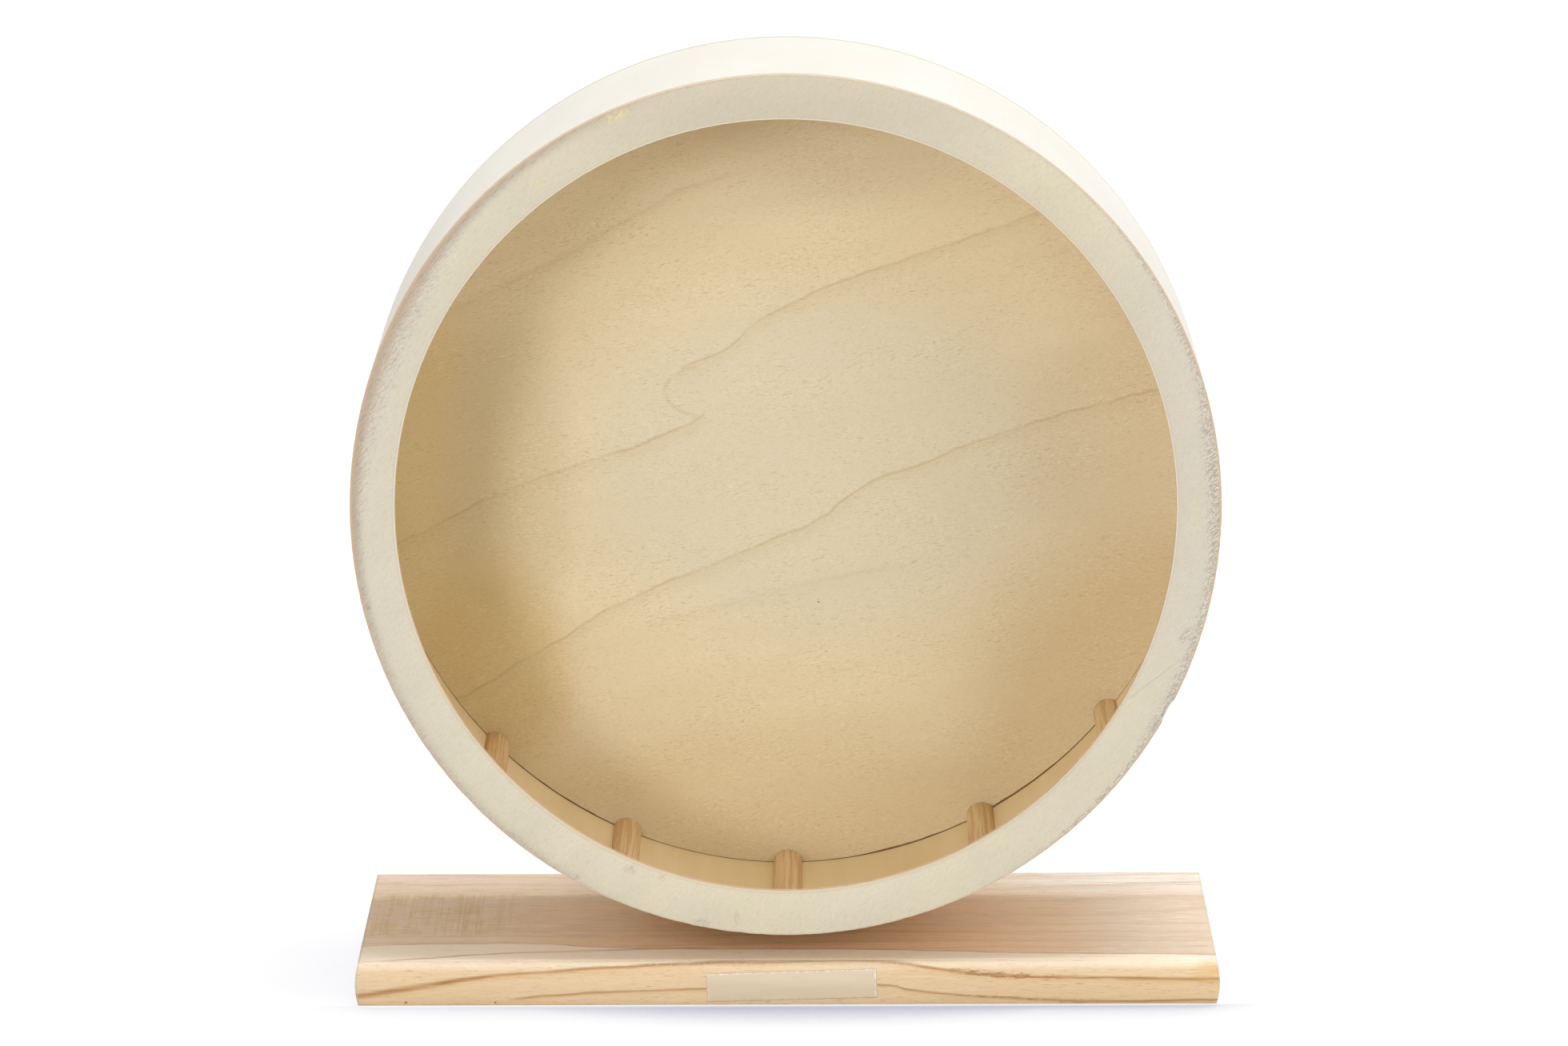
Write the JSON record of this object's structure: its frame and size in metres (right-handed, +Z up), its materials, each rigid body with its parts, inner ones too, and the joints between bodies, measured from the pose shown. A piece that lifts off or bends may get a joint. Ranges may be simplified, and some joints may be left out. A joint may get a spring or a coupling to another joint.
{
  "type": "rodent exercise wheel",
  "caption": "Wooden running wheel for rodents: open front ring, bent track with half-round rungs and closed back disc, turning on ball bearings in an upright on a flat base board.",
  "frame": {"origin": "centre of the underside of the base board", "axes": "+Z up, +X across the wheel to the right of someone who looks into its open front, +Y from the open front to the back disc, along the axle"},
  "size_m": [0.29, 0.1501, 0.314],
  "materials": {
    "pine": "sanded pine with a yellow crowned front edge and a paler top",
    "film": "thin clear film, blank",
    "zinc_steel": "bright zinc plate",
    "bearing_steel": "ground steel",
    "pale_plywood": "pale sanded plywood with fibrous cut edges",
    "bent_plywood": "smooth bent plywood, pale outside and tan inside",
    "tan_plywood": "tan plywood with flowing figure",
    "cage_plastic": "moulded nylon",
    "insert_plastic": "white nylon",
    "rung_wood": "half-round softwood moulding"
  },
  "bodies": {
    "stand": {"base_board": "pine", "label_sticker": "film", "upright_board": "pine", "upright_screws": "zinc_steel", "front_bearing_outer_race": "bearing_steel", "front_bearing_shields": "bearing_steel", "rear_bearing_outer_race": "bearing_steel", "rear_bearing_shields": "bearing_steel"},
    "wheel": {"front_ring": "pale_plywood", "track_band": "bent_plywood", "back_disc": "tan_plywood", "hub_block": "tan_plywood", "axle_bolt": "zinc_steel", "hub_washer": "zinc_steel", "bearing_spacer": "zinc_steel", "rear_washer": "zinc_steel", "lock_nut": "zinc_steel", "lock_nut_insert": "insert_plastic", "front_bearing_inner_race": "bearing_steel", "rear_bearing_inner_race": "bearing_steel", "rung_01": "rung_wood", "rung_02": "rung_wood", "rung_03": "rung_wood", "rung_04": "rung_wood", "rung_05": "rung_wood", "rung_06": "rung_wood", "rung_07": "rung_wood", "rung_08": "rung_wood", "rung_09": "rung_wood", "rung_10": "rung_wood", "rung_11": "rung_wood", "rung_12": "rung_wood", "rung_13": "rung_wood", "rung_14": "rung_wood", "rung_15": "rung_wood"},
    "front_ball_set": {"front_bearing_balls": "bearing_steel", "front_bearing_cage": "cage_plastic"},
    "rear_ball_set": {"rear_bearing_balls": "bearing_steel", "rear_bearing_cage": "cage_plastic"}
  },
  "joints": [
    {"name": "wheel_spin", "type": "hinge", "parent": "stand", "child": "wheel", "pos_m": [0, 0.0551, 0.169], "axis": [0, 1, 0], "continuous": true},
    {"name": "front_balls_roll", "type": "hinge", "parent": "stand", "child": "front_ball_set", "pos_m": [0, 0.0511, 0.169], "axis": [0, 1, 0], "continuous": true},
    {"name": "rear_balls_roll", "type": "hinge", "parent": "stand", "child": "rear_ball_set", "pos_m": [0, 0.0591, 0.169], "axis": [0, 1, 0], "continuous": true}
  ],
  "couplings": [
    {"joint": "front_balls_roll", "follows": "wheel_spin", "ratio": 0.3679},
    {"joint": "rear_balls_roll", "follows": "wheel_spin", "ratio": 0.3679}
  ]
}
